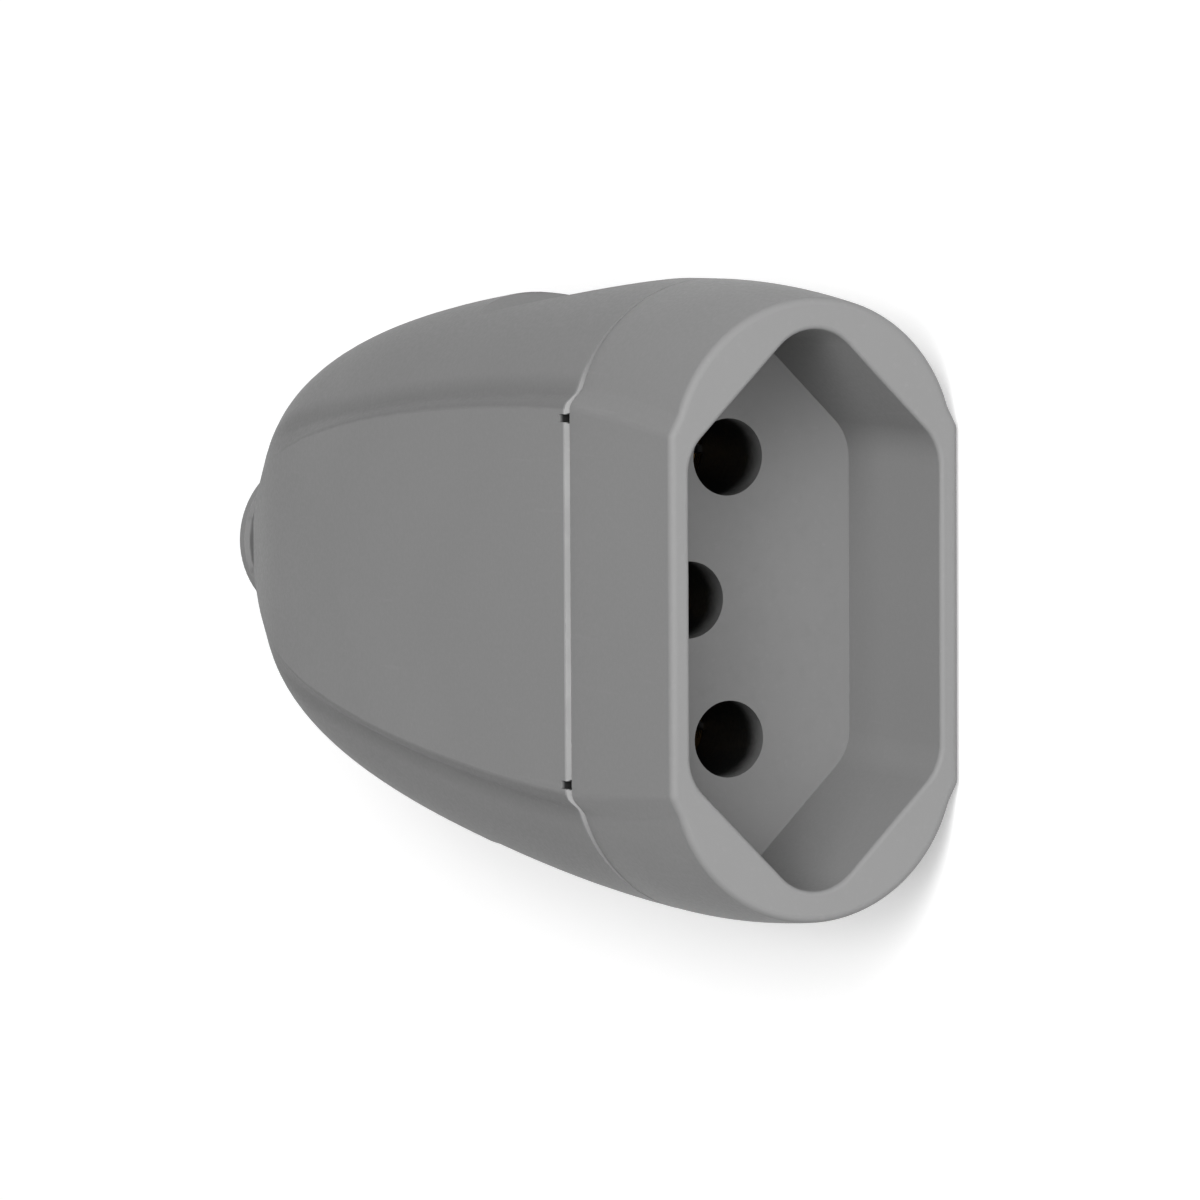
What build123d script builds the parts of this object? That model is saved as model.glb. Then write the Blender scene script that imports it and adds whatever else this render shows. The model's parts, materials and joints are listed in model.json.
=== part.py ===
from build123d import *
import os
from math import cos, radians, sin

# Rewirable in-line socket with a hexagonal recess and three pin holes, in millimetres.
# It lies on one of its flat sides: Z is up, the mouth faces -Y and the cable end faces +Y.
# The origin is under the middle of the body, on the surface that it lies on.

# Collar: walls round the recess at the mouth, and how its outline grows towards the seam with the rear shell
floor_thickness = 2.55
side_wall = 1.4
end_wall = 0.56
face_flat_lead = 1.11
face_ledge = 0.25
seam_swell = 0.8
seam_draft = 0.15
seam_flat_lead = 1.4
collar_ledge = 0.55
edge_angle = 17.0
face_crease_radius = 0.8
seam_crease_radius = 1.0
rim_fillet = 0.5
mouth_fillet = 0.3
parting_chamfer = 0.1

# Rear shell: outline at its cable end, and how full its sides are in between
tail_room = 18.35
seam_step = 0.35
tail_margin = 1.35
tail_widening = 0.4
tail_flat_half = 1.8
seam_ledge = 0.5
tail_ledge = 0.25
tail_crease_radius = 0.25
height_onset = 1.5
height_fullness = 2.56
width_onset = 7.0
width_fullness = 0.85
flat_onset = 1.8
flat_fullness = 1.8
shell_stations = 10
shell_wall = 1.8
tail_wall = 2.0

# Recess and pin holes in the collar
recess_depth = 12.55
recess_half_width = 9.35
recess_flat_half = 10.69
recess_corner = 3.5
recess_apex_radius = 3.6
recess_draft = 0.15
pin_spacing = 19.0
earth_offset = 3.0
pin_hole_radius = 2.6
entry_tube_wall = 0.6
entry_tube_gap = 0.3
pin_length = 19.0

# Spigot and snap ribs that hold the collar in the rear shell
spigot_length = 9.0
spigot_wall = 1.4
spigot_clearance = 0.15
snap_back = 4.5
snap_length = 2.0
snap_land = 0.7
snap_height = 0.6
snap_half_span = 8.0
snap_clearance = 0.15

# Relief notches at the two ends of each snap tongue
notch_margin = 0.9
notch_width = 0.55
notch_length = 0.9

# Thumb stops on the two narrow edges
ramp_lead = 2.9
ramp_length = 21.0
ramp_drop = 3.1
stop_rise = 1.2
stop_run = 2.9

# Ribs inside the rear shell that press the carrier against the collar
rib_position = 9.0
rib_thickness = 1.2
rib_length = 9.0
rib_bite = 0.7

# Cable bush in the rear opening
cable_radius = 3.75
bush_wall = 1.15
bush_lip = 0.6
bush_inner_length = 1.5
bush_neck_wall = 2.15
bush_neck_length = 4.6
bush_flange_lip = 0.35
bush_flange_length = 1.1
bush_edge = 0.25
bush_mouth_chamfer = 0.6
bush_clearance = 0.05

# Brass contacts
line_contact_gap = 6.5
earth_contact_gap = 5.0
pin_tip_room = 0.6
sleeve_outer = 2.95
sleeve_bore = 2.4
sleeve_lead = 0.3
slit_width = 0.6
slit_length = 8.0
block_side = 6.4
block_length = 8.5
chamber_side = 3.8
chamber_length = 7.5
chamber_rise = 0.5

# Spring rings round the contact sleeves
ring_gauge = 0.3
ring_length = 2.2
ring_back = 2.0
ring_gap = 1.2

# Terminal screws and their pressure plates
terminal_thread = 1.3
terminal_head_radius = 2.1
terminal_head_length = 1.6
terminal_reach = 0.8
terminal_inset = 3.7
driver_slot_width = 0.6
driver_slot_depth = 0.8
thread_clearance = 0.02
plate_gauge = 0.6
plate_length = 6.4
plate_clearance = 0.1

# Contact carrier
carrier_side_room = 3.65
carrier_corner = 5.5
pocket_wall = 1.75
carrier_rear_wall = 2.0
pocket_clearance = 0.15
wire_hole_radius = 1.8
wire_hole_lead = 0.5
driver_hole_radius = 2.4

# Tail of the carrier, cord clamp and its screws
tail_plate_half = 8.0
tail_plate_thickness = 1.8
clamp_gap = 5.5
clamp_length = 7.0
clamp_half_span = 11.2
clamp_corner = 1.0
seat_sink = 0.5
clamp_rise = 5.6
clamp_ear_height = 2.4
grip_height = 0.4
grip_length = 0.9
clamp_screw_spacing = 15.8
clamp_screw_radius = 1.4
clamp_screw_depth = 4.5
clamp_screw_clearance = 0.2
clamp_head_radius = 2.3
clamp_head_length = 1.7

# Outlines worked out from the sizes above
face_half_height = recess_flat_half + recess_half_width + end_wall
face_half_width = recess_half_width + side_wall
face_flat_half = recess_flat_half + face_flat_lead
face_end_radius = face_half_width - face_ledge
seam_half_height = face_half_height + seam_swell
seam_half_width = face_half_width - seam_draft
seam_flat_half = face_flat_half + seam_flat_lead
seam_end_radius = seam_half_width - collar_ledge
axis_height = seam_half_width + seam_step
ramp_foot_half_height = seam_half_height - ramp_drop
notch_position = seam_flat_half - notch_margin
bush_groove_radius = cable_radius + bush_wall
bush_inner_radius = bush_groove_radius + bush_lip
bush_neck_radius = cable_radius + bush_neck_wall
bush_flange_radius = bush_neck_radius + bush_flange_lip
tail_half_width = bush_flange_radius + tail_margin
tail_half_height = tail_half_width + tail_widening
carrier_half_height = pin_spacing / 2 + block_side / 2 + pocket_clearance + pocket_wall
carrier_half_width = axis_height - carrier_side_room
seat_depth = carrier_half_width - tail_plate_thickness + seat_sink

# Places along the body worked out from the sizes above, all measured back from the mouth
collar_length = recess_depth + floor_thickness
block_front = recess_depth + pin_length + pin_tip_room
block_end = block_front + block_length
carrier_end = block_end + carrier_rear_wall
clamp_front = carrier_end + clamp_gap
clamp_end = clamp_front + clamp_length
shell_end = clamp_end + tail_room
shell_length = shell_end - collar_length
overall_length = shell_end + bush_neck_length + bush_flange_length
mouth_y = -overall_length / 2
ramp_start = collar_length + ramp_lead
ramp_foot = ramp_start + ramp_length
terminal_back = block_end - terminal_inset
snap_front = collar_length + snap_back
spigot_inset = shell_wall + spigot_clearance
spigot_outer_half = axis_height - spigot_inset
pin_places = {"phase": (pin_spacing / 2, 0), "neutral": (-pin_spacing / 2, 0), "earth": (0, earth_offset)}
contact_gaps = {"phase": line_contact_gap, "neutral": line_contact_gap, "earth": earth_contact_gap}


def station(back):
    """Plane across the body at a distance back from the mouth, facing the mouth."""
    return Plane(origin=(0, mouth_y + back, axis_height), x_dir=(1, 0, 0), z_dir=(0, -1, 0))


def upright(height, back=0.0, across=0.0):
    """Level plane at a height above or below the axis, facing up."""
    return Plane(origin=(across, mouth_y + back, axis_height + height))


def swell(start, end, share, onset, fullness):
    """Value between start and end along a rounded curve that ends steeply."""
    return end + (start - end) * (1 - share**onset) ** (1 / fullness)


def body_outline(half_height, half_width, flat_half, end_radius, crease_radius=0):
    """Two flats, four bevels and two round ends as a face, with its corners softened if asked."""
    centre = half_height - end_radius
    foot_x = centre + end_radius * sin(radians(edge_angle))
    foot_y = end_radius * cos(radians(edge_angle))
    with BuildSketch() as outline:
        with BuildLine():
            Line((flat_half, half_width), (foot_x, foot_y))
            ThreePointArc((foot_x, foot_y), (half_height, 0), (foot_x, -foot_y))
            Line((foot_x, -foot_y), (flat_half, -half_width))
            Line((flat_half, -half_width), (-flat_half, -half_width))
            Line((-flat_half, -half_width), (-foot_x, -foot_y))
            ThreePointArc((-foot_x, -foot_y), (-half_height, 0), (-foot_x, foot_y))
            Line((-foot_x, foot_y), (-flat_half, half_width))
            Line((-flat_half, half_width), (flat_half, half_width))
        make_face()
        if crease_radius:
            fillet(outline.vertices(), crease_radius)
    return outline.sketch


def collar_outline(share):
    """Outline of the collar at a share of its length."""
    return body_outline(
        seam_half_height - (seam_half_height - face_half_height) * (1 - share) ** 3,
        face_half_width + (seam_half_width - face_half_width) * share,
        face_flat_half + (seam_flat_half - face_flat_half) * share,
        face_end_radius + (seam_end_radius - face_end_radius) * share,
        face_crease_radius + (seam_crease_radius - face_crease_radius) * share,
    )


def shell_outline(share, inset, crease_radius=0):
    """Outline of the rear shell at a share of its length, moved inwards by an inset."""
    half_width = swell(axis_height, tail_half_width, share, width_onset, width_fullness)
    return body_outline(
        swell(seam_half_height, tail_half_height, share, height_onset, height_fullness) - inset,
        half_width - inset,
        swell(seam_flat_half, tail_flat_half, share, flat_onset, flat_fullness) - inset / 2,
        half_width - seam_ledge - (tail_ledge - seam_ledge) * share - inset,
        crease_radius,
    )


def is_circle(edge, radius):
    """Whether an edge is a round one of the given radius."""
    return edge.geom_type == GeomType.CIRCLE and abs(edge.radius - radius) < 0.001


def shell_shares():
    """Shares of the shell's length at which its outline is set, evenly spaced for a smooth loft."""
    return [index / (shell_stations - 1) for index in range(shell_stations)]


def recess_outline(inset):
    """Hexagon with two long flats and 45 degree ends, moved inwards by an inset."""
    half_width = recess_half_width - inset
    apex = recess_flat_half + half_width
    with BuildSketch() as outline:
        with BuildLine():
            Polyline(
                (recess_flat_half, half_width),
                (apex, 0),
                (recess_flat_half, -half_width),
                (-recess_flat_half, -half_width),
                (-apex, 0),
                (-recess_flat_half, half_width),
                close=True,
            )
        make_face()
        fillet(outline.vertices().sort_by(Axis.X)[1:-1], recess_corner)
        apexes = outline.vertices().group_by(Axis.X)
        fillet(apexes[0] + apexes[-1], recess_apex_radius)
    return outline.sketch


os.makedirs("parts", exist_ok=True)

# Front housing: collar with the recess, its floor with three entry tubes, and the spigot with two snap ribs
with BuildPart() as front_housing:
    for share in (0, 0.5, 1):
        with BuildSketch(station(collar_length * share)):
            add(collar_outline(share))
    loft()
    fillet(front_housing.faces().sort_by(Axis.Y)[0].edges(), rim_fillet)
    chamfer(front_housing.faces().sort_by(Axis.Y)[-1].edges(), parting_chamfer)
    for inset, mode in ((spigot_inset, Mode.ADD), (spigot_inset + spigot_wall, Mode.SUBTRACT)):
        for share in (0, spigot_length / (shell_length - tail_wall)):
            with BuildSketch(station(collar_length + (shell_length - tail_wall) * share)):
                add(shell_outline(share, inset))
        loft(mode=mode)
    with BuildSketch(Plane(origin=(0, mouth_y + snap_front, axis_height), x_dir=(0, 1, 0), z_dir=(1, 0, 0))):
        with BuildLine():
            Polyline(
                (0, spigot_outer_half - snap_height),
                (0, spigot_outer_half + snap_height),
                (snap_land, spigot_outer_half + snap_height),
                (snap_length, spigot_outer_half),
                (snap_length, spigot_outer_half - snap_height),
                close=True,
            )
        make_face()
        mirror(about=Plane.XZ)
    extrude(amount=snap_half_span, both=True)
    with BuildSketch(station(0)):
        add(recess_outline(0))
    with BuildSketch(station(recess_depth)):
        add(recess_outline(recess_draft))
    loft(mode=Mode.SUBTRACT)
    mouth_edges = front_housing.faces().sort_by(Axis.Y)[0].inner_wires()[0].edges()
    fillet(mouth_edges, mouth_fillet)
    for name, place in pin_places.items():
        tube_length = contact_gaps[name] - entry_tube_gap
        with BuildSketch(station(collar_length)):
            with Locations(place):
                Circle(pin_hole_radius + entry_tube_wall)
        extrude(amount=-tube_length)
        with BuildSketch(station(recess_depth)):
            with Locations(place):
                Circle(pin_hole_radius)
        extrude(amount=-(floor_thickness + tube_length), mode=Mode.SUBTRACT)
front_housing.part.label = "front_housing"
export_step(front_housing.part, "parts/front_housing.step")

# Rear housing: hollow shell with flat panels, thumb stops and the opening for the bush
with BuildPart() as rear_housing:
    for share in shell_shares():
        crease_radius = seam_crease_radius + (tail_crease_radius - seam_crease_radius) * share
        with BuildSketch(station(collar_length + shell_length * share)):
            add(shell_outline(share, 0, crease_radius))
    loft()
    with BuildSketch(upright(-axis_height)):
        with BuildLine():
            Polyline(
                (seam_half_height, ramp_start),
                (ramp_foot_half_height, ramp_foot),
                (ramp_foot_half_height + stop_rise, ramp_foot + stop_run),
                (seam_half_height + stop_rise, ramp_foot + stop_run),
                (seam_half_height + stop_rise, ramp_start),
                close=True,
            )
        make_face()
        mirror(about=Plane.YZ)
    extrude(amount=2 * axis_height, mode=Mode.SUBTRACT)
    for share in shell_shares():
        with BuildSketch(station(collar_length + (shell_length - tail_wall) * share)):
            add(shell_outline(share, shell_wall))
    loft(mode=Mode.SUBTRACT)
    rib_foot = axis_height - shell_wall / 2
    rib_top = carrier_half_width - rib_bite
    for side in (-1, 1):
        with BuildSketch(upright(side * (rib_foot + rib_top) / 2, carrier_end + rib_length / 2)):
            with GridLocations(2 * rib_position, 0, 2, 1):
                Rectangle(rib_thickness, rib_length)
        extrude(amount=(rib_foot - rib_top) / 2, both=True)
    with BuildSketch(station(shell_end)):
        Circle(bush_groove_radius + bush_clearance)
    extrude(amount=2 * tail_wall, mode=Mode.SUBTRACT)
    with BuildSketch(upright(0, snap_front + snap_length / 2)):
        Rectangle(2 * (snap_half_span + snap_clearance), snap_length + 2 * snap_clearance)
    extrude(amount=spigot_outer_half + snap_height + snap_clearance, both=True, mode=Mode.SUBTRACT)
    with BuildSketch(upright(-axis_height, collar_length + notch_length / 2)):
        with GridLocations(2 * notch_position, 0, 2, 1):
            Rectangle(notch_width, notch_length)
    extrude(amount=2 * axis_height, mode=Mode.SUBTRACT)
rear_housing.part.label = "rear_housing"
export_step(rear_housing.part, "parts/rear_housing.step")

# Cable bush: soft sleeve that grips the rear wall in its groove
with BuildPart() as cable_bush:
    with BuildSketch(Plane.YZ) as bush_profile:
        with BuildLine():
            Polyline(
                (shell_end - tail_wall - bush_inner_length, cable_radius),
                (shell_end - tail_wall - bush_inner_length, bush_inner_radius),
                (shell_end - tail_wall, bush_inner_radius),
                (shell_end - tail_wall, bush_groove_radius),
                (shell_end, bush_groove_radius),
                (shell_end, bush_neck_radius),
                (shell_end + bush_neck_length, bush_neck_radius),
                (shell_end + bush_neck_length, bush_flange_radius),
                (overall_length, bush_flange_radius),
                (overall_length, cable_radius),
                close=True,
            )
        make_face()
    revolve(axis=Axis.Y)
    rear_face = cable_bush.faces().sort_by(Axis.Y)[-1]
    fillet(rear_face.edges().filter_by(lambda edge: is_circle(edge, bush_flange_radius)), bush_edge)
    rear_face = cable_bush.faces().sort_by(Axis.Y)[-1]
    chamfer(rear_face.edges().filter_by(lambda edge: is_circle(edge, cable_radius)), bush_mouth_chamfer)
cable_bush.part = cable_bush.part.moved(Location((0, mouth_y, axis_height)))
cable_bush.part.label = "cable_bush"
export_step(cable_bush.part, "parts/cable_bush.step")

# Contact carrier: insulating block with three pockets, and a tail that seats the cord
with BuildPart() as contact_carrier:
    with BuildSketch(station(collar_length)):
        RectangleRounded(2 * carrier_half_height, 2 * carrier_half_width, carrier_corner)
    extrude(amount=collar_length - carrier_end)
    with BuildSketch(upright(-carrier_half_width, (carrier_end + clamp_end) / 2)):
        Rectangle(2 * tail_plate_half, clamp_end - carrier_end)
    extrude(amount=tail_plate_thickness)
    with BuildSketch(upright(-seat_depth, (clamp_front + clamp_end) / 2)):
        RectangleRounded(2 * clamp_half_span, clamp_length, clamp_corner)
    extrude(amount=seat_depth)
    with BuildSketch(station(collar_length)):
        with Locations(*pin_places.values()):
            Rectangle(block_side + 2 * pocket_clearance, block_side + 2 * pocket_clearance)
    extrude(amount=collar_length - block_end, mode=Mode.SUBTRACT)
    with BuildSketch(station(block_end)):
        with Locations(*[(across, rise + chamber_rise) for across, rise in pin_places.values()]):
            Circle(wire_hole_radius)
    extrude(amount=block_end - carrier_end, mode=Mode.SUBTRACT)
    wire_hole_edges = contact_carrier.edges().filter_by(lambda edge: is_circle(edge, wire_hole_radius))
    chamfer(wire_hole_edges.group_by(Axis.Y)[-1], wire_hole_lead)
    for across, rise in pin_places.values():
        with BuildSketch(upright(-carrier_half_width, terminal_back, across)):
            Circle(driver_hole_radius)
        extrude(amount=carrier_half_width + rise, mode=Mode.SUBTRACT)
    with BuildSketch(station(clamp_front)):
        Circle(cable_radius)
    extrude(amount=-clamp_length, mode=Mode.SUBTRACT)
    with BuildSketch(upright(0, (clamp_front + clamp_end) / 2)):
        with GridLocations(clamp_screw_spacing, 0, 2, 1):
            Circle(clamp_screw_radius + thread_clearance)
    extrude(amount=-clamp_screw_depth, mode=Mode.SUBTRACT)
contact_carrier.part.label = "contact_carrier"
export_step(contact_carrier.part, "parts/contact_carrier.step")


def make_contact(across, rise, gap):
    """Brass contact: slit sleeve for the pin in front, terminal block with a wire chamber behind."""
    sleeve_front = collar_length + gap
    with BuildPart() as contact:
        with BuildSketch(station(sleeve_front)):
            with Locations((across, rise)):
                Circle(sleeve_outer)
        extrude(amount=sleeve_front - block_front)
        with BuildSketch(station(block_front)):
            with Locations((across, rise)):
                Rectangle(block_side, block_side)
        extrude(amount=-block_length)
        with BuildSketch(station(sleeve_front)):
            with Locations((across, rise)):
                Circle(sleeve_bore)
        extrude(amount=sleeve_front - block_front, mode=Mode.SUBTRACT)
        mouth = contact.faces().sort_by(Axis.Y)[0]
        chamfer(mouth.edges().filter_by(lambda edge: is_circle(edge, sleeve_bore)), sleeve_lead)
        with BuildSketch(station(sleeve_front)):
            with Locations((across, rise)):
                Rectangle(2 * block_side, slit_width)
                Rectangle(slit_width, 2 * block_side)
        extrude(amount=-slit_length, mode=Mode.SUBTRACT)
        with BuildSketch(station(block_end)):
            with Locations((across, rise + chamber_rise)):
                Rectangle(chamber_side, chamber_side)
        extrude(amount=chamber_length, mode=Mode.SUBTRACT)
        with BuildSketch(upright(rise - block_side / 2, terminal_back, across)):
            Circle(terminal_thread + thread_clearance)
        extrude(amount=block_side / 2, mode=Mode.SUBTRACT)
    return contact.part


def make_spring_ring(across, rise, gap):
    """Open steel ring that presses the fingers of a sleeve together."""
    with BuildPart() as ring:
        with BuildSketch(station(collar_length + gap + ring_back)):
            with Locations((across, rise)):
                Circle(sleeve_outer + ring_gauge)
                Circle(sleeve_outer, mode=Mode.SUBTRACT)
            with Locations((across, rise + sleeve_outer)):
                Rectangle(ring_gap, sleeve_outer, mode=Mode.SUBTRACT)
        extrude(amount=-ring_length)
    return ring.part


def make_screw(plane, shank_radius, shank_length, head_radius, head_length):
    """Slotted screw whose head stands on the plane and whose shank goes into it."""
    with BuildPart() as screw:
        with BuildSketch(plane):
            Circle(head_radius)
        extrude(amount=head_length)
        with BuildSketch(plane):
            Circle(shank_radius)
        extrude(amount=-shank_length)
        with BuildSketch(plane.offset(head_length)):
            Rectangle(2 * head_radius, driver_slot_width)
        extrude(amount=-driver_slot_depth, mode=Mode.SUBTRACT)
    return screw.part


def make_wire_plate(across, rise):
    """Small plate in the wire chamber, on the tip of the terminal screw."""
    floor_rise = rise + chamber_rise - chamber_side / 2 + terminal_reach
    with BuildPart() as plate:
        with BuildSketch(upright(floor_rise, block_end - plate_length / 2 - plate_clearance, across)):
            Rectangle(chamber_side - 2 * plate_clearance, plate_length)
        extrude(amount=plate_gauge)
    return plate.part


# Three contacts, each with its spring ring, terminal screw and pressure plate
wall_under_chamber = block_side / 2 + chamber_rise - chamber_side / 2
for name, (across, rise) in pin_places.items():
    block_bottom = upright(rise - block_side / 2, terminal_back, across)
    head_plane = Plane(origin=block_bottom.origin, x_dir=(1, 0, 0), z_dir=(0, 0, -1))
    pieces = {
        name + "_contact": make_contact(across, rise, contact_gaps[name]),
        name + "_spring_ring": make_spring_ring(across, rise, contact_gaps[name]),
        name + "_terminal_screw": make_screw(
            head_plane,
            terminal_thread,
            wall_under_chamber + terminal_reach,
            terminal_head_radius,
            terminal_head_length,
        ),
        name + "_wire_plate": make_wire_plate(across, rise),
    }
    for label, piece in pieces.items():
        piece.label = label
        export_step(piece, "parts/" + label + ".step")

# Cord clamp: saddle that closes on the cord over the carrier's seat
with BuildPart() as cord_clamp:
    with BuildSketch(station(clamp_front)):
        Circle(clamp_rise)
        with Locations((0, -clamp_rise / 2)):
            Rectangle(2 * clamp_rise, clamp_rise, mode=Mode.SUBTRACT)
        with Locations((0, clamp_ear_height / 2)):
            Rectangle(2 * clamp_half_span, clamp_ear_height)
        Circle(cable_radius - grip_height, mode=Mode.SUBTRACT)
    extrude(amount=-clamp_length)
    fillet(cord_clamp.edges().filter_by(Axis.Z).group_by(Axis.X)[0], clamp_corner)
    fillet(cord_clamp.edges().filter_by(Axis.Z).group_by(Axis.X)[-1], clamp_corner)
    valley_length = (clamp_length - 2 * grip_length) / 3
    for index in range(3):
        with BuildSketch(station(clamp_front + index * (valley_length + grip_length))):
            Circle(cable_radius)
        extrude(amount=-valley_length, mode=Mode.SUBTRACT)
    with BuildSketch(upright(0, (clamp_front + clamp_end) / 2)):
        with GridLocations(clamp_screw_spacing, 0, 2, 1):
            Circle(clamp_screw_radius + clamp_screw_clearance)
    extrude(amount=clamp_ear_height, mode=Mode.SUBTRACT)
cord_clamp.part.label = "cord_clamp"
export_step(cord_clamp.part, "parts/cord_clamp.step")

# Cord clamp screws, one on each ear of the clamp
for side, label in ((-1, "cord_clamp_screw_left"), (1, "cord_clamp_screw_right")):
    ear_plane = upright(clamp_ear_height, (clamp_front + clamp_end) / 2, side * clamp_screw_spacing / 2)
    screw = make_screw(
        ear_plane,
        clamp_screw_radius,
        clamp_ear_height + clamp_screw_depth,
        clamp_head_radius,
        clamp_head_length,
    )
    screw.label = label
    export_step(screw, "parts/" + label + ".step")
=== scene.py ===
import json

import bpy
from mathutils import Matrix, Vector

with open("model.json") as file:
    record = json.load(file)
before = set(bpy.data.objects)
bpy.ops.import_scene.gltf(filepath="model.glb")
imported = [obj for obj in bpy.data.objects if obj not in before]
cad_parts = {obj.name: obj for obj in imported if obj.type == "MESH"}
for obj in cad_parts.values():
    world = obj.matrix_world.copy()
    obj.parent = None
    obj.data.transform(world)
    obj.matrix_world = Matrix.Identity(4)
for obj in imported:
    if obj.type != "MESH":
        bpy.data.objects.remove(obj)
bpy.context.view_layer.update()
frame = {"nodes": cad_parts, "record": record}
nodes = frame["nodes"]
print("loaded", len(nodes), "nodes")


axisHeight = 0.01095  # the body's centre line above the floor
floorPlane = -0.02705  # front of the recess floor, along the body
seamPlane = -0.0245  # where the two housings meet, along the body
bushFlange = 0.0385  # front of the bush's flange, along the body


# Small helpers for node trees. A value may be a number, a colour or another node's socket.
def feed(tree, socket, value):
    if isinstance(value, bpy.types.NodeSocket):
        tree.links.new(value, socket)
    else:
        socket.default_value = value


def addNode(tree, kind, place, inputs=(), **settings):
    node = tree.nodes.new(kind)
    node.location = place
    for key, value in settings.items():
        setattr(node, key, value)
    for key, value in dict(inputs).items():
        feed(tree, node.inputs[key], value)
    return node


def newGroup(name, inputs, outputs):
    tree = bpy.data.node_groups.new(name, "ShaderNodeTree")
    tree.interface.new_socket(name="Vector", in_out="INPUT", socket_type="NodeSocketVector")
    for socketName, value in inputs.items():
        kind = "NodeSocketVector" if value is None else "NodeSocketFloat"
        socket = tree.interface.new_socket(name=socketName, in_out="INPUT", socket_type=kind)
        if value is not None:
            socket.default_value = value
    for socketName in outputs:
        tree.interface.new_socket(name=socketName, in_out="OUTPUT", socket_type="NodeSocketFloat")
    return tree, tree.nodes.new("NodeGroupInput").outputs, tree.nodes.new("NodeGroupOutput").inputs


def compute(tree, operation, first, second, place, clamp=False):
    settings = {"operation": operation, "use_clamp": clamp}
    return addNode(tree, "ShaderNodeMath", place, {0: first, 1: second}, **settings).outputs[0]


def magnitude(tree, value, place):
    return compute(tree, "ABSOLUTE", value, 0.0, place)


def remap(tree, value, given, wanted, place):
    return addNode(tree, "ShaderNodeMapRange", place, {
        "Value": value, "From Min": given[0], "From Max": given[1],
        "To Min": wanted[0], "To Max": wanted[1],
    }, clamp=True, interpolation_type="SMOOTHSTEP").outputs["Result"]


def splitVector(tree, vector, place):
    return addNode(tree, "ShaderNodeSeparateXYZ", place, {0: vector}).outputs


# Moulded skin: fine spark-eroded grain with broad soft unevenness from the flow of the plastic
skinValues = {
    "grainScale": 4200.0, "grainDetail": 3.0, "grainRoughness": 0.55,
    "flowScale": 55.0, "flowDetail": 2.0, "flowDistortion": 0.6,
    "speckShare": 0.4,  # of the grain's scale
    "speckReach": 0.35,
}


def makeMouldSkin(values):
    tree, given, result = newGroup(
        "mouldSkin", {"Grain Scale": values["grainScale"], "Flow Scale": values["flowScale"]},
        ("Grain", "Flow", "Speck"))
    grain = addNode(tree, "ShaderNodeTexNoise", (-400, 200), {
        "Vector": given["Vector"], "Scale": given["Grain Scale"], "Detail": values["grainDetail"],
        "Roughness": values["grainRoughness"]})
    flow = addNode(tree, "ShaderNodeTexNoise", (-400, 0), {
        "Vector": given["Vector"], "Scale": given["Flow Scale"], "Detail": values["flowDetail"],
        "Distortion": values["flowDistortion"]})
    cellScale = compute(tree, "MULTIPLY", given["Grain Scale"], values["speckShare"], (-600, -200))
    cells = addNode(tree, "ShaderNodeTexVoronoi", (-400, -200), {
        "Vector": given["Vector"], "Scale": cellScale})
    speck = remap(tree, cells.outputs["Distance"], (0.0, values["speckReach"]), (1.0, 0.0), (-200, -200))
    feed(tree, result["Grain"], grain.outputs["Fac"])
    feed(tree, result["Flow"], flow.outputs["Fac"])
    feed(tree, result["Speck"], speck)
    return tree


# Handling: rubbed patches and hair scratches that run mostly along the body
handlingValues = {
    "patchScale": 38.0, "patchDetail": 5.0, "patchRange": (0.48, 0.72),
    "scratchScale": 260.0, "scratchDetail": 4.0, "scratchRange": (0.66, 0.72),
    "scratchTurn": (0.0, 0.0, 0.35), "scratchStretch": (6.0, 0.35, 6.0),
}


def makeHandling(values):
    tree, given, result = newGroup(
        "handling", {"Patch Scale": values["patchScale"], "Scratch Scale": values["scratchScale"]},
        ("Rubbed", "Scratches"))
    patch = addNode(tree, "ShaderNodeTexNoise", (-400, 200), {
        "Vector": given["Vector"], "Scale": given["Patch Scale"], "Detail": values["patchDetail"]})
    stretch = addNode(tree, "ShaderNodeMapping", (-600, -100), {
        "Vector": given["Vector"], "Rotation": values["scratchTurn"], "Scale": values["scratchStretch"]})
    hair = addNode(tree, "ShaderNodeTexNoise", (-400, -100), {
        "Vector": stretch.outputs["Vector"], "Scale": given["Scratch Scale"],
        "Detail": values["scratchDetail"]})
    rubAndHighlight = remap(tree, patch.outputs["Fac"], values["patchRange"], (0.0, 1.0), (-200, 200))
    scratches = remap(tree, hair.outputs["Fac"], values["scratchRange"], (0.0, 1.0), (-200, -100))
    feed(tree, result["Rubbed"], rubAndHighlight)
    feed(tree, result["Scratches"], scratches)
    return tree


# Metal marks: fine lines left by turning or rolling, with a cloudy stain over them
markValues = {
    "lineScale": 3600.0, "lineDistortion": 1.5, "lineDetail": 3.0,
    "stainScale": 180.0, "stainDetail": 6.0, "stainRange": (0.4, 0.7),
}


def makeMetalMarks(values):
    tree, given, result = newGroup(
        "metalMarks", {"Line Scale": values["lineScale"], "Stain Scale": values["stainScale"]},
        ("Lines", "Stain"))
    lines = addNode(tree, "ShaderNodeTexWave", (-400, 100), {
        "Vector": given["Vector"], "Scale": given["Line Scale"], "Distortion": values["lineDistortion"],
        "Detail": values["lineDetail"]}, wave_type="BANDS", bands_direction="Y")
    stain = addNode(tree, "ShaderNodeTexNoise", (-400, -150), {
        "Vector": given["Vector"], "Scale": given["Stain Scale"], "Detail": values["stainDetail"]})
    feed(tree, result["Lines"], lines.outputs["Fac"])
    feed(tree, result["Stain"],
         remap(tree, stain.outputs["Fac"], values["stainRange"], (0.0, 1.0), (-200, -150)))
    return tree
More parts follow.
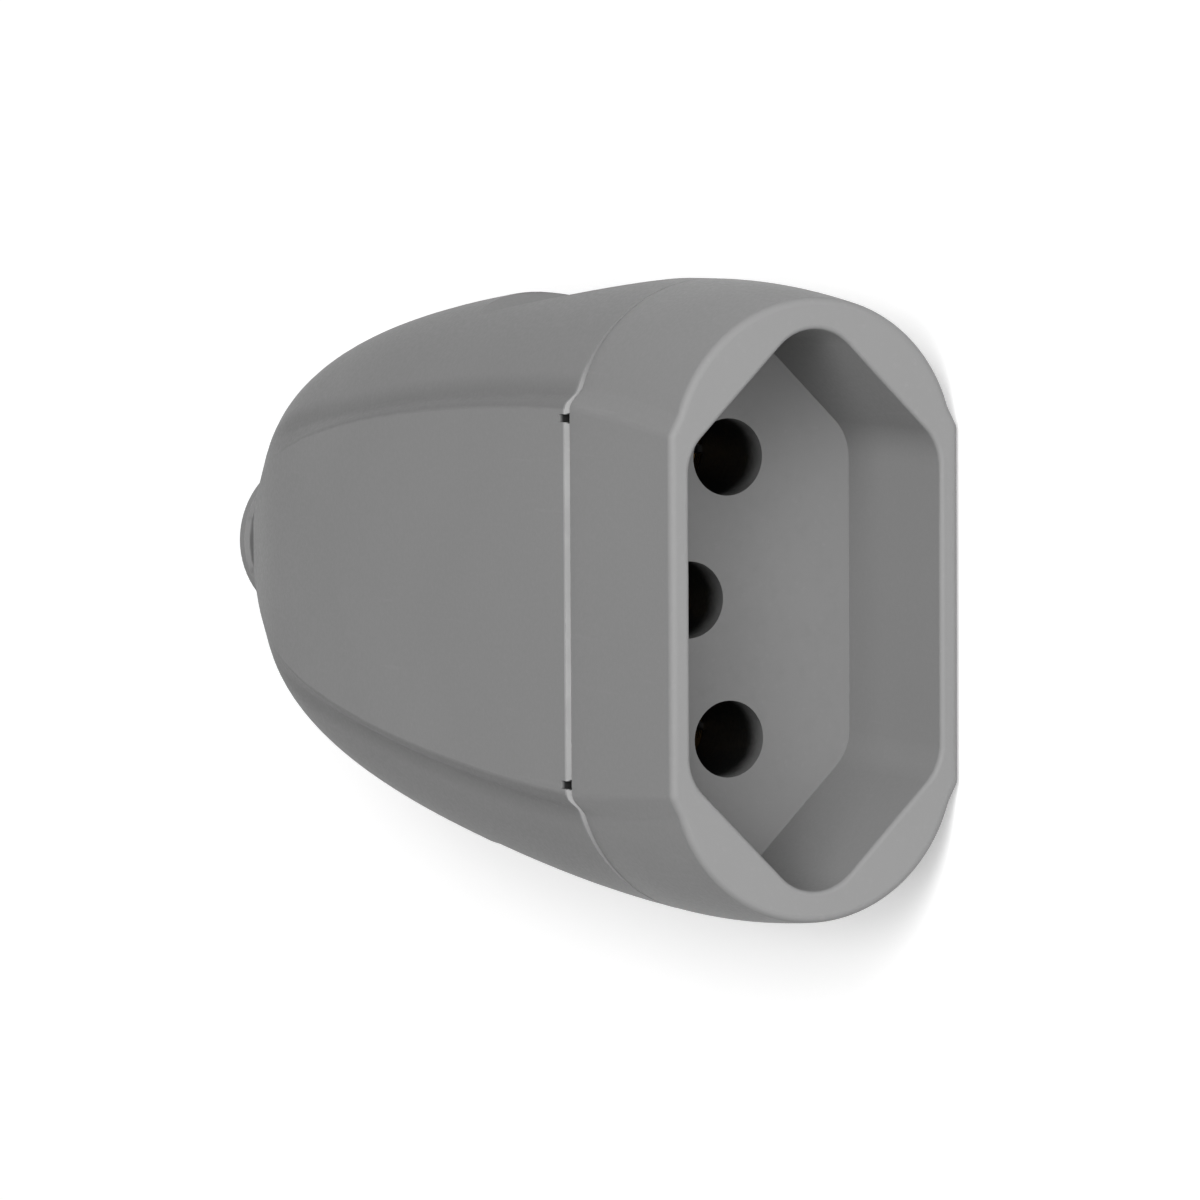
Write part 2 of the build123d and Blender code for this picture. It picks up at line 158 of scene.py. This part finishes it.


# Depth shade: painted shade that darkens along the body from Start to Full, kept to a core this wide and
# high round the axis, and broken up by noise
depthShadeValues = {"full": 0.003, "coreSize": 1.0, "patchScale": 900.0, "patchReach": 0.0008}


def makeDepthShade(values):
    tree, given, result = newGroup(
        "depthShade",
        {"Start": 0.0, "Full": values["full"],
         "Core Width": values["coreSize"], "Core Height": values["coreSize"]},
        ("Mask",))
    parts = splitVector(tree, given["Vector"], (-600, 0))
    patch = addNode(tree, "ShaderNodeTexNoise", (-600, -200), {
        "Vector": given["Vector"], "Scale": values["patchScale"]})
    uneven = compute(tree, "MULTIPLY", patch.outputs["Fac"], values["patchReach"], (-400, -200))
    depth = compute(tree, "ADD", parts["Y"], uneven, (-300, 0))
    shadeRamp = remap(tree, depth, (given["Start"], given["Full"]), (0.0, 1.0), (-100, 0))
    across = magnitude(tree, parts["X"], (-300, -200))
    above = magnitude(tree, compute(tree, "SUBTRACT", parts["Z"], axisHeight, (-450, -350)), (-300, -350))
    inWidth = compute(tree, "LESS_THAN", across, given["Core Width"], (-150, -200))
    inHeight = compute(tree, "LESS_THAN", above, given["Core Height"], (-150, -350))
    core = compute(tree, "MULTIPLY", inWidth, inHeight, (0, -250))
    feed(tree, result["Mask"], compute(tree, "MULTIPLY", shadeRamp, core, (150, -100)))
    return tree


# Seam highlight: a thin painted highlight along the seam's edge, brightest on the flats and gone on the
# narrow edges, broken up by noise
seamHighlightValues = {
    "reach": 0.0003, "lineFade": (0.4, 1.0),
    "flatEdge": (0.0125, 0.0175),  # from the middle of the flat, across the body
    "breakScale": 420.0, "breakRange": (0.3, 0.65), "leastHighlight": 0.75,
}


def makeSeamHighlight(values):
    tree, given, result = newGroup("seamHighlight", {"Seam": 0.0, "Reach": values["reach"]}, ("Mask",))
    parts = splitVector(tree, given["Vector"], (-800, 0))
    offset = magnitude(tree, compute(tree, "SUBTRACT", parts["Y"], given["Seam"], (-600, 100)), (-450, 100))
    share = compute(tree, "DIVIDE", offset, given["Reach"], (-300, 100))
    near = remap(tree, share, values["lineFade"], (1.0, 0.0), (-150, 100))
    across = magnitude(tree, parts["X"], (-600, -100))
    side = remap(tree, across, values["flatEdge"], (1.0, 0.0), (-300, -100))
    highlightBreak = addNode(tree, "ShaderNodeTexNoise", (-600, -300), {
        "Vector": given["Vector"], "Scale": values["breakScale"]})
    highlightStrength = remap(tree, highlightBreak.outputs["Fac"], values["breakRange"], (values["leastHighlight"], 1.0), (-300, -300))
    onFlats = compute(tree, "MULTIPLY", near, side, (0, 0))
    feed(tree, result["Mask"], compute(tree, "MULTIPLY", onFlats, highlightStrength, (150, 0)))
    return tree


# Shell shade: painted shade on the rear shell, darker in the crease, on the flanks and in the notches. Drop
# is how far a point lies under the flat panels, which bend towards the axis behind fallFrom. Crease is the
# foot of the panel's step, Sides the rounded flanks and
# Notch the two small relief notches at the seam.
shellShadeValues = {
    "fallFrom": 0.005, "fallPower": 2.4, "fallFactor": 15.5,
    "creaseTurn": (0.06, 0.3), "creaseDrop": (0.0008, 0.0015), "sideDrop": (0.0002, 0.0014),
    "notchHalf": 0.00035, "notchDrop": (0.00005, 0.0004),
}


def makeShellShade(values):
    tree, given, result = newGroup(
        "shellShade", {"Normal": None, "Axis Height": 0.0, "Notch Place": 0.0, "Notch End": 0.0},
        ("Crease", "Sides", "Notch"))
    parts = splitVector(tree, given["Vector"], (-1200, 0))
    behind = compute(tree, "SUBTRACT", parts["Y"], values["fallFrom"], (-1000, 200))
    rearward = compute(tree, "MAXIMUM", behind, 0.0, (-850, 200))
    curve = compute(tree, "POWER", rearward, values["fallPower"], (-700, 200))
    fall = compute(tree, "MULTIPLY", curve, values["fallFactor"], (-550, 200))
    panel = compute(tree, "SUBTRACT", given["Axis Height"], fall, (-400, 200))
    rise = magnitude(
        tree, compute(tree, "SUBTRACT", parts["Z"], given["Axis Height"], (-1000, 0)), (-850, 0))
    drop = compute(tree, "SUBTRACT", panel, rise, (-250, 100))
    turn = magnitude(tree, splitVector(tree, given["Normal"], (-1200, -300))["X"], (-1000, -300))
    steep = remap(tree, turn, values["creaseTurn"], (0.0, 1.0), (-800, -300))
    foot = remap(tree, drop, values["creaseDrop"], (1.0, 0.0), (-100, 200))
    feed(tree, result["Crease"], compute(tree, "MULTIPLY", steep, foot, (100, 200)))
    feed(tree, result["Sides"], remap(tree, drop, values["sideDrop"], (0.0, 1.0), (-100, 0)))
    across = magnitude(tree, parts["X"], (-1000, -500))
    offset = magnitude(
        tree, compute(tree, "SUBTRACT", across, given["Notch Place"], (-850, -500)), (-700, -500))
    inWidth = compute(tree, "LESS_THAN", offset, values["notchHalf"], (-550, -500))
    inLength = compute(tree, "LESS_THAN", parts["Y"], given["Notch End"], (-550, -650))
    inside = compute(tree, "MULTIPLY", inWidth, inLength, (-400, -500))
    deep = remap(tree, drop, values["notchDrop"], (0.0, 1.0), (-400, -350))
    feed(tree, result["Notch"], compute(tree, "MULTIPLY", inside, deep, (100, -400)))
    return tree


mouldSkin = makeMouldSkin(skinValues)
handling = makeHandling(handlingValues)
metalMarks = makeMetalMarks(markValues)
depthShade = makeDepthShade(depthShadeValues)
seamHighlight = makeSeamHighlight(seamHighlightValues)
shellShade = makeShellShade(shellShadeValues)
print("finishes", len(bpy.data.node_groups))


# Helpers for materials
def newMaterial(name):
    material = bpy.data.materials.new(name)
    material.use_nodes = True
    tree = material.node_tree
    coordinates = addNode(tree, "ShaderNodeTexCoord", (-1200, 0)).outputs
    return material, tree, tree.nodes["Principled BSDF"].inputs, coordinates


def placeGroup(tree, group, inputs, place):
    node = addNode(tree, "ShaderNodeGroup", place, node_tree=group)
    for name, value in inputs.items():
        feed(tree, node.inputs[name], value)
    return node.outputs


def tint(color, factor):
    return tuple(min(1.0, channel * factor) for channel in color) + (1.0,)


def mixColors(tree, factor, first, second, place):
    return addNode(tree, "ShaderNodeMix", place, {"Factor": factor, "A": first, "B": second},
                   data_type="RGBA", blend_type="MIX").outputs["Result"]


def addBump(tree, shader, height, look):
    bump = addNode(tree, "ShaderNodeBump", (-200, -200), {
        "Height": height, "Strength": look["bump"], "Distance": look["bumpDistance"]})
    feed(tree, shader["Normal"], bump.outputs["Normal"])


# Moulded plastic: tone, roughness and bump all follow the grain, the flow and the handling; the tone also
# carries a painted highlight along seams and painted shade in creases, notches and holes
def makePlastic(name, look):
    def shade(key):
        return tint(look["color"], look[key])

    material, tree, shader, coordinates = newMaterial(name)
    vector = coordinates["Object"]
    skin = placeGroup(tree, mouldSkin, {"Vector": vector, "Grain Scale": look["grainScale"]}, (-900, 200))
    hands = placeGroup(tree, handling, {"Vector": vector}, (-900, -200))
    flowTone = mixColors(tree, skin["Flow"], shade("flowDark"), shade("flowPale"), (-600, 300))
    specks = compute(tree, "MULTIPLY", skin["Speck"], look["speck"], (-600, 150))
    speckTone = mixColors(tree, specks, flowTone, shade("speckPale"), (-400, 300))
    scratches = compute(tree, "MULTIPLY", hands["Scratches"], look["scratch"], (-600, -200))
    scratchTone = mixColors(tree, scratches, speckTone, shade("scratchPale"), (-200, 300))
    # Painted highlight: a pale line along the seam's edge, and on the bush along the front of its flange
    rubAndHighlight = placeGroup(
        tree, seamHighlight, {"Vector": vector, "Seam": look["seam"], "Reach": look["seamReach"]}, (-900, -700))
    tone = mixColors(tree, rubAndHighlight["Mask"], scratchTone, shade("seamHighlightTone"), (-50, 300))
    # Painted shade on the rear shell: darker on its flanks, in the crease at the panel's foot and in the
    # notches
    if "sideShade" in look:
        shellShadeMasks = placeGroup(tree, shellShade, {
            "Vector": vector, "Normal": coordinates["Normal"], "Axis Height": axisHeight,
            "Notch Place": look["notchPlace"], "Notch End": look["notchEnd"]}, (-900, -900))
        sides = compute(tree, "MULTIPLY", shellShadeMasks["Sides"], look["sideShade"], (-600, -900))
        crease = compute(tree, "MULTIPLY", shellShadeMasks["Crease"], look["creaseShade"], (-600, -1000))
        spread = compute(tree, "ADD", sides, crease, (-400, -900))
        full = compute(tree, "MAXIMUM", spread, shellShadeMasks["Notch"], (-200, -900), clamp=True)
        tone = mixColors(tree, full, tone, shade("shellShadeTone"), (100, 300))
    # Painted shade: darker deep in the entry tubes and on the bush's neck, where shade falls
    depthShadeMask = placeGroup(tree, depthShade, {
        "Vector": vector, "Start": look["depthShadeFrom"], "Full": look["depthShadeTo"],
        "Core Width": look["coreWidth"], "Core Height": look["coreHeight"]}, (-900, -500))
    feed(tree, shader["Base Color"], mixColors(tree, depthShadeMask["Mask"], tone, shade("depthShadeTone"), (250, 300)))
    grainRough = remap(tree, skin["Grain"], look["grainRange"], look["roughness"], (-600, 0))
    smoothed = compute(tree, "MULTIPLY", hands["Rubbed"], look["rub"], (-600, -100))
    feed(tree, shader["Roughness"], compute(tree, "SUBTRACT", grainRough, smoothed, (-400, 0), clamp=True))
    cuts = compute(tree, "MULTIPLY", hands["Scratches"], look["scratchDepth"], (-600, -350))
    addBump(tree, shader, compute(tree, "SUBTRACT", skin["Grain"], cuts, (-400, -300)), look)
    shader["Specular IOR Level"].default_value = look["specular"]
    return material


# Metal: base metal with lines across it, a duller stain where it has been handled, and painted shade
# darkening it towards one end
def makeMetal(name, look):
    material, tree, shader, coordinates = newMaterial(name)
    vector = coordinates["Object"]
    marks = placeGroup(tree, metalMarks, {"Vector": vector, "Line Scale": look["lineScale"]}, (-900, 0))
    stains = compute(tree, "MULTIPLY", marks["Stain"], look["stain"], (-600, 200))
    stained = mixColors(tree, stains, tint(look["color"], 1.0), tint(look["stainColor"], 1.0), (-400, 200))
    # Painted shade: the metal darker towards one end, for the shade deep in the socket's holes
    holeShade = placeGroup(tree, depthShade, {
        "Vector": vector, "Start": look["holeShadeFrom"], "Full": look["holeShadeTo"]}, (-900, -300))
    darkened = tint(look["stainColor"], look["holeShadeTone"])
    feed(tree, shader["Base Color"], mixColors(tree, holeShade["Mask"], stained, darkened, (-200, 200)))
    lineRough = remap(tree, marks["Lines"], (0.0, 1.0), look["roughness"], (-600, 0))
    dulled = compute(tree, "MULTIPLY", marks["Stain"], look["stainRough"], (-600, -100))
    feed(tree, shader["Roughness"], compute(tree, "ADD", lineRough, dulled, (-400, 0), clamp=True))
    addBump(tree, shader, marks["Lines"], look)
    shader["Metallic"].default_value = 1.0
    return material


nowhere = (1.0, 2.0)  # along the body, far past its rear end, for an effect that a piece doesn't have
housingLook = {
    "color": (0.212, 0.212, 0.212), "roughness": (0.46, 0.56), "rub": 0.06, "specular": 0.12,
    "grainScale": 3600.0, "grainRange": (0.3, 0.7), "bump": 0.2, "bumpDistance": 0.00003,
    "flowDark": 0.965, "flowPale": 1.035,
    "speck": 0.10, "speckPale": 1.25,
    "scratch": 0.08, "scratchPale": 1.4, "scratchDepth": 0.6,
    "seam": nowhere[0], "seamReach": 0.0003, "seamHighlightTone": 1.4,
    "shellShadeTone": 0.1,
    "depthShadeFrom": nowhere[0], "depthShadeTo": nowhere[1], "depthShadeTone": 0.04, "coreWidth": 1.0, "coreHeight": 1.0,
}
metalLook = {
    "bumpDistance": 0.00002, "stainRough": 0.12,
    "holeShadeFrom": nowhere[0], "holeShadeTo": nowhere[1], "holeShadeTone": 0.12,
}
looks = {
    "front_plastic": (makePlastic, housingLook | {
        # painted highlight along the seam, painted shade deep in the entry tubes behind the recess floor
        "seam": seamPlane, "seamReach": 0.00014,
        "depthShadeFrom": floorPlane + 0.0003, "depthShadeTo": floorPlane + 0.0028,
        "coreWidth": 0.0145, "coreHeight": 0.0085}),
    "rear_plastic": (makePlastic, housingLook | {
        # painted highlight along the seam, painted shade on the flanks, the crease and the notches
        "seam": seamPlane, "seamHighlightTone": 1.65, "sideShade": 0.09, "creaseShade": 0.26,
        "notchPlace": 0.012295, "notchEnd": seamPlane + 0.00095}),
    "bush_plastic": (makePlastic, housingLook | {
        # painted highlight along the front of the flange, painted shade on the neck between the shell and
        # the flange
        "roughness": (0.5, 0.62), "rub": 0.1, "seam": bushFlange, "seamReach": 0.00015, "seamHighlightTone": 1.25,
        "depthShadeFrom": bushFlange + 0.0004, "depthShadeTo": bushFlange, "depthShadeTone": 0.6}),
    "carrier_plastic": (makePlastic, housingLook | {
        "color": (0.035, 0.035, 0.036), "roughness": (0.5, 0.62),
        "speck": 0.25, "scratch": 0.2, "bump": 0.35}),
    "clamp_plastic": (makePlastic, housingLook | {
        "color": (0.16, 0.16, 0.162), "roughness": (0.5, 0.65), "bump": 0.4}),
    "contact_brass": (makeMetal, metalLook | {
        "color": (0.76, 0.56, 0.24), "stainColor": (0.45, 0.29, 0.12), "stain": 0.45,
        "roughness": (0.22, 0.34), "lineScale": 3600.0, "bump": 0.3,
        # painted shade on the contacts, darker towards the mouth
        "holeShadeFrom": -0.008, "holeShadeTo": -0.0145}),
    "spring_steel": (makeMetal, metalLook | {
        "color": (0.56, 0.56, 0.57), "stainColor": (0.3, 0.28, 0.26), "stain": 0.25,
        "roughness": (0.16, 0.28), "lineScale": 4200.0, "bump": 0.2}),
    "screw_steel": (makeMetal, metalLook | {
        "color": (0.62, 0.62, 0.6), "stainColor": (0.4, 0.38, 0.32), "stain": 0.35,
        "roughness": (0.28, 0.42), "lineScale": 3200.0, "bump": 0.25}),
    "plate_steel": (makeMetal, metalLook | {
        "color": (0.58, 0.58, 0.57), "stainColor": (0.36, 0.34, 0.3), "stain": 0.4,
        "roughness": (0.3, 0.45), "lineScale": 2600.0, "bump": 0.35}),
}
slotOf = {part["node"]: part["material_slot"] for part in frame["record"]["subparts"]}
materials = {slot: make(slot, look) for slot, (make, look) in looks.items()}
for name, node in nodes.items():
    if not node.data.materials:
        node.data.materials.append(materials[slotOf[name]])
    for index in range(len(node.data.materials)):
        node.data.materials[index] = materials[slotOf[name]]
print("materials", len(materials))


# One for rays that show the background as it is, to the camera or in a reflection, and none for light
def seenDirectly(tree, place):
    paths = addNode(tree, "ShaderNodeLightPath", place).outputs
    mirrored = compute(tree, "MAXIMUM", paths["Is Glossy Ray"], paths["Is Transmission Ray"],
                       (place[0] + 200, place[1] - 100))
    return compute(tree, "MAXIMUM", paths["Is Camera Ray"], mirrored, (place[0] + 400, place[1]))


# Floor: pale and matt, shown white to the camera, darker only where the socket shades it
floorLook = {
    "half": 3.0, "low": (0.86, 0.86, 0.86, 1.0), "high": (0.9, 0.9, 0.9, 1.0), "fibreScale": 60.0,
    "roughness": 0.9, "specular": 0.1, "glow": (1.0, 1.0, 1.0, 1.0),
    "lifts": (0.35, 0.85),  # added near the socket and far from it
    "liftReach": (0.3, 1.4),  # how far from the socket the lift starts and stops to grow
}


def makeFloor(look):
    half = look["half"]
    mesh = bpy.data.meshes.new("floor")
    corners = [(-half, -half, 0), (half, -half, 0), (half, half, 0), (-half, half, 0)]
    mesh.from_pydata(corners, [], [(0, 1, 2, 3)])
    floor = bpy.data.objects.new("floor", mesh)
    bpy.context.scene.collection.objects.link(floor)
    material, tree, shader, coordinates = newMaterial("floorPaper")
    fibre = addNode(tree, "ShaderNodeTexNoise", (-700, 0), {
        "Vector": coordinates["Object"], "Scale": look["fibreScale"]})
    feed(tree, shader["Base Color"],
         mixColors(tree, fibre.outputs["Fac"], look["low"], look["high"], (-400, 0)))
    shader["Roughness"].default_value = look["roughness"]
    shader["Specular IOR Level"].default_value = look["specular"]
    reach = addNode(
        tree, "ShaderNodeVectorMath", (-700, -600), {0: coordinates["Object"]}, operation="LENGTH")
    lift = remap(tree, reach.outputs["Value"], look["liftReach"], look["lifts"], (-500, -600))
    shader["Emission Color"].default_value = look["glow"]
    feed(tree, shader["Emission Strength"],
         compute(tree, "MULTIPLY", seenDirectly(tree, (-700, -300)), lift, (-150, -300)))
    mesh.materials.append(material)


makeFloor(floorLook)
print("floor")


# Studio light: a soft key ahead of the mouth and to one side, a weaker lamp in front and a fill high above,
# each aimed at the socket, and a low even surround that looks white where it is seen
def addLamp(name, look):
    data = bpy.data.lights.new(name, "AREA")
    data.shape = "RECTANGLE"
    data.size, data.size_y = look["size"]
    data.energy = look["energy"]
    lamp = bpy.data.objects.new(name, data)
    bpy.context.scene.collection.objects.link(lamp)
    lamp.location = look["place"]
    lamp.rotation_euler = (-Vector(look["place"])).to_track_quat("-Z", "Y").to_euler()


def makeSurround(look):
    world = bpy.data.worlds.new("studio")
    bpy.context.scene.world = world
    world.use_nodes = True
    tree = world.node_tree
    background = tree.nodes["Background"].inputs
    background["Color"].default_value = look["color"]
    extra = compute(tree, "MULTIPLY", seenDirectly(tree, (-800, 0)), 1.0 - look["light"], (-200, 0))
    feed(tree, background["Strength"], compute(tree, "ADD", extra, look["light"], (-50, 0)))


addLamp("keyLamp", {"place": (0.40, -0.87, 0.72), "size": (0.6, 0.6), "energy": 10.8})
addLamp("frontLamp", {"place": (0.0, -1.2, 0.36), "size": (0.5, 0.5), "energy": 4.4})
addLamp("fillLamp", {"place": (0.0, -0.76, 0.98), "size": (0.6, 0.6), "energy": 5.6})
makeSurround({"color": (1.0, 1.0, 1.0, 1.0), "light": 0.16})
print("lights")


# Camera at the photo's angle: in front of the mouth, to the side of the flat panel, rolled as the photo is
def addCamera(look):
    data = bpy.data.cameras.new("photoCamera")
    data.lens = look["lens"]
    data.sensor_width = look["sensorWidth"]
    data.clip_start = look["clipStart"]
    camera = bpy.data.objects.new("photoCamera", data)
    bpy.context.scene.collection.objects.link(camera)
    camera.location = look["place"]
    camera.rotation_euler = look["turn"]
    bpy.context.scene.camera = camera


addCamera({
    "place": (0.0426227, -0.5020379, 0.2582021), "turn": (-0.0909360, 1.1064601, -1.5835067),
    "lens": 240.0, "sensorWidth": 36.0, "clipStart": 0.01})
bpy.context.scene.view_settings.view_transform = "Standard"
print("camera")
